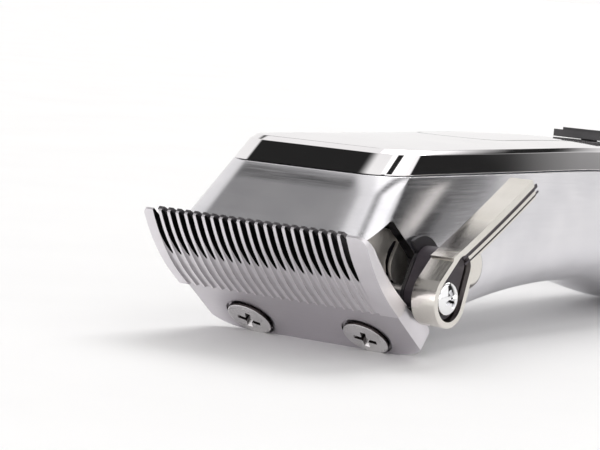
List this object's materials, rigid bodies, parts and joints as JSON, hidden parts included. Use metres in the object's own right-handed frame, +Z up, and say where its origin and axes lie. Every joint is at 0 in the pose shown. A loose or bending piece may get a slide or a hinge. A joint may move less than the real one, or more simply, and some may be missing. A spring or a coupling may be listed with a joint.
{
  "type": "hair clipper",
  "caption": "Cordless metal hair clipper with a wide toothed blade, a polished lid, a brushed body and a side taper lever.",
  "frame": {"origin": "middle of the flat foot under the tail, the face that rests on a table together with the blade's heel", "axes": "+X across the body to the taper lever's side, +Y from the blade towards the tail, +Z up from the foot to the lid"},
  "size_m": [0.0505, 0.1591, 0.0353],
  "materials": {
    "brushed_housing": "satin polished",
    "polished_lid": "mirror polished",
    "black_plastic": "moulded",
    "spring_steel": "bright sprung",
    "motor_steel": "drawn",
    "white_plastic": "moulded",
    "bearing_brass": "turned",
    "cell_wrap": "shrink film",
    "circuit_board": "solder mask",
    "light_pipe": "frosted",
    "screw_steel": "turned",
    "rotor_copper": "lacquered wire",
    "lever_nickel": "satin nickel",
    "lever_plastic": "moulded",
    "bright_screw": "bright plated",
    "blade_steel": "satin ground",
    "cutter_steel": "dark ground"
  },
  "bodies": {
    "body": {"lower_housing": "brushed_housing", "lid": "polished_lid", "rear_cap": "black_plastic", "chassis": "black_plastic", "tension_spring_right": "spring_steel", "tension_spring_left": "spring_steel", "side_leaf": "spring_steel", "lever_boss": "black_plastic", "motor_can": "motor_steel", "motor_end_bell": "white_plastic", "bearing_front": "bearing_brass", "bearing_rear": "bearing_brass", "battery_cell": "cell_wrap", "circuit_board": "circuit_board", "charge_socket": "black_plastic", "charge_pin": "bearing_brass", "charge_light": "light_pipe", "switch_block": "black_plastic", "housing_screw_front": "screw_steel", "housing_screw_rear": "screw_steel", "fixed_blade": "blade_steel", "blade_screw_left": "screw_steel", "blade_screw_right": "screw_steel"},
    "motor_rotor": {"rotor_shaft": "motor_steel", "rotor_core": "rotor_copper", "eccentric": "white_plastic"},
    "power_switch": {"switch_knob": "black_plastic"},
    "taper_lever": {"lever_arm": "lever_nickel", "lever_insert": "lever_plastic", "lever_hub": "lever_plastic", "lever_shaft": "motor_steel", "lever_screw": "bright_screw"},
    "taper_carriage": {"cutter_carriage": "black_plastic"},
    "cutter": {"cutter_blade": "cutter_steel", "cutter_yoke": "black_plastic"}
  },
  "joints": [
    {"name": "lever_pivot", "type": "hinge", "parent": "body", "child": "taper_lever", "pos_m": [0.0258, -0.1272, 0.011], "axis": [-1, 0, 0], "range_deg": [0, 55]},
    {"name": "taper_slide", "type": "slide", "parent": "body", "child": "taper_carriage", "axis": [0, 0.7826, -0.6225], "range_m": [0, 0.00185]},
    {"name": "cutter_stroke", "type": "slide", "parent": "taper_carriage", "child": "cutter", "axis": [1, 0, 0], "range_m": [-0.0004, 0.002]},
    {"name": "motor_spin", "type": "hinge", "parent": "body", "child": "motor_rotor", "pos_m": [0, -0.1, 0.0203], "axis": [0, 1, 0], "continuous": true},
    {"name": "switch_slide", "type": "slide", "parent": "body", "child": "power_switch", "axis": [0, -0.9976, 0.069], "range_m": [0, 0.004]}
  ],
  "couplings": [
    {"joint": "lever_pivot", "follows": "taper_slide", "rad_per_m": 519.7}
  ]
}
